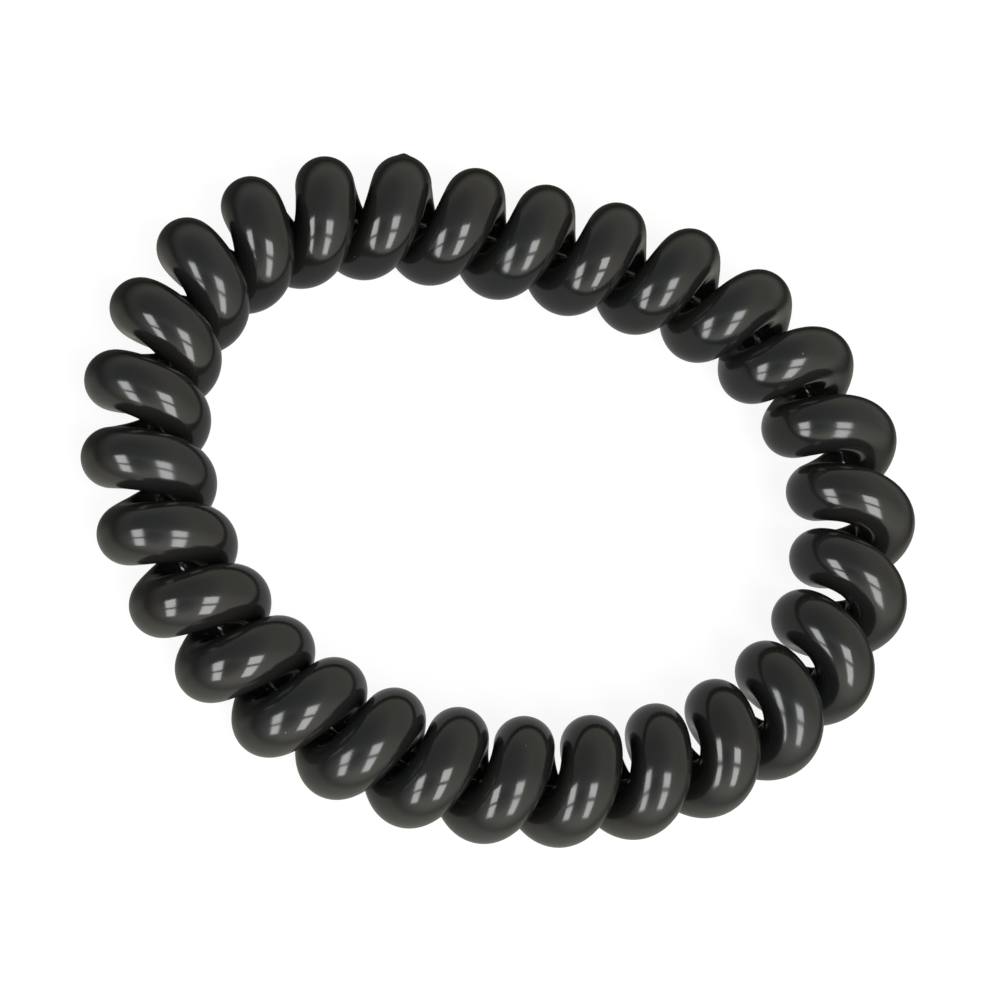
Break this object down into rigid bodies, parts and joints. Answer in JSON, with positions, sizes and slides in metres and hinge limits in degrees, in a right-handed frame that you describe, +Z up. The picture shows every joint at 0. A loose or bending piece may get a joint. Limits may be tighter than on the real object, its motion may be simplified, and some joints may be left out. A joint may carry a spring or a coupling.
{
  "type": "spiral hair tie",
  "caption": "Glossy black plastic wire coiled as a helix round a closed ring, which stretches over gathered hair to hold it.",
  "frame": {"origin": "on the surface that the tie lies on, under the middle of its box", "axes": "+X along the ring's longest extent, +Y across it, +Z up, through the hole in the ring"},
  "size_m": [0.0638, 0.0522, 0.0094],
  "materials": {
    "coil": "glossy black elastic plastic"
  },
  "bodies": {
    "root": {"coil": "coil"}
  },
  "joints": []
}
